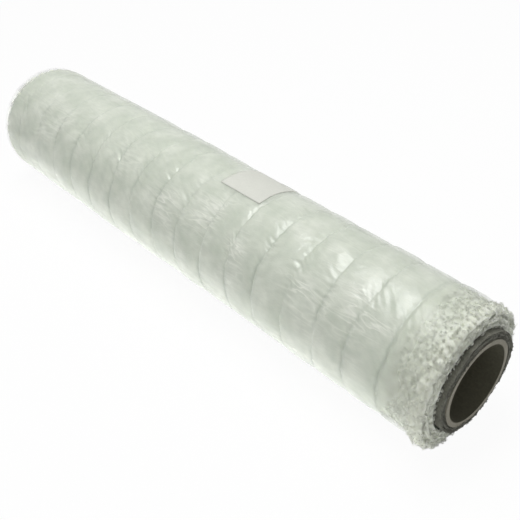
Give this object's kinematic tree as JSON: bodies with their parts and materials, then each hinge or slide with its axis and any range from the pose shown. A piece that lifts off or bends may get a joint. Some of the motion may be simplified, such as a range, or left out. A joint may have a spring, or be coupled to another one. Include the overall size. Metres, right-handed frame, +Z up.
{
  "type": "insulation roll",
  "caption": "Roll of white fleece insulation on a cardboard core, held tight by a spiral of clear stretch film, with a blank paper label.",
  "frame": {"origin": "on the floor under the middle of the roll, which lies on its side", "axes": "+X along the roll's axis towards the end that faces the viewer, +Z up, +Y away from the viewer"},
  "size_m": [0.45, 0.0918, 0.0921],
  "materials": {
    "core_tube": "matt",
    "liner_turns": "matt, fibrous",
    "fleece_roll": "curly fleece",
    "film_wrap": "clear glossy stretch film",
    "label": "matt, unprinted"
  },
  "bodies": {
    "root": {"core_tube": "core_tube", "liner_turns": "liner_turns", "fleece_roll": "fleece_roll", "film_wrap": "film_wrap", "label": "label"}
  },
  "joints": []
}
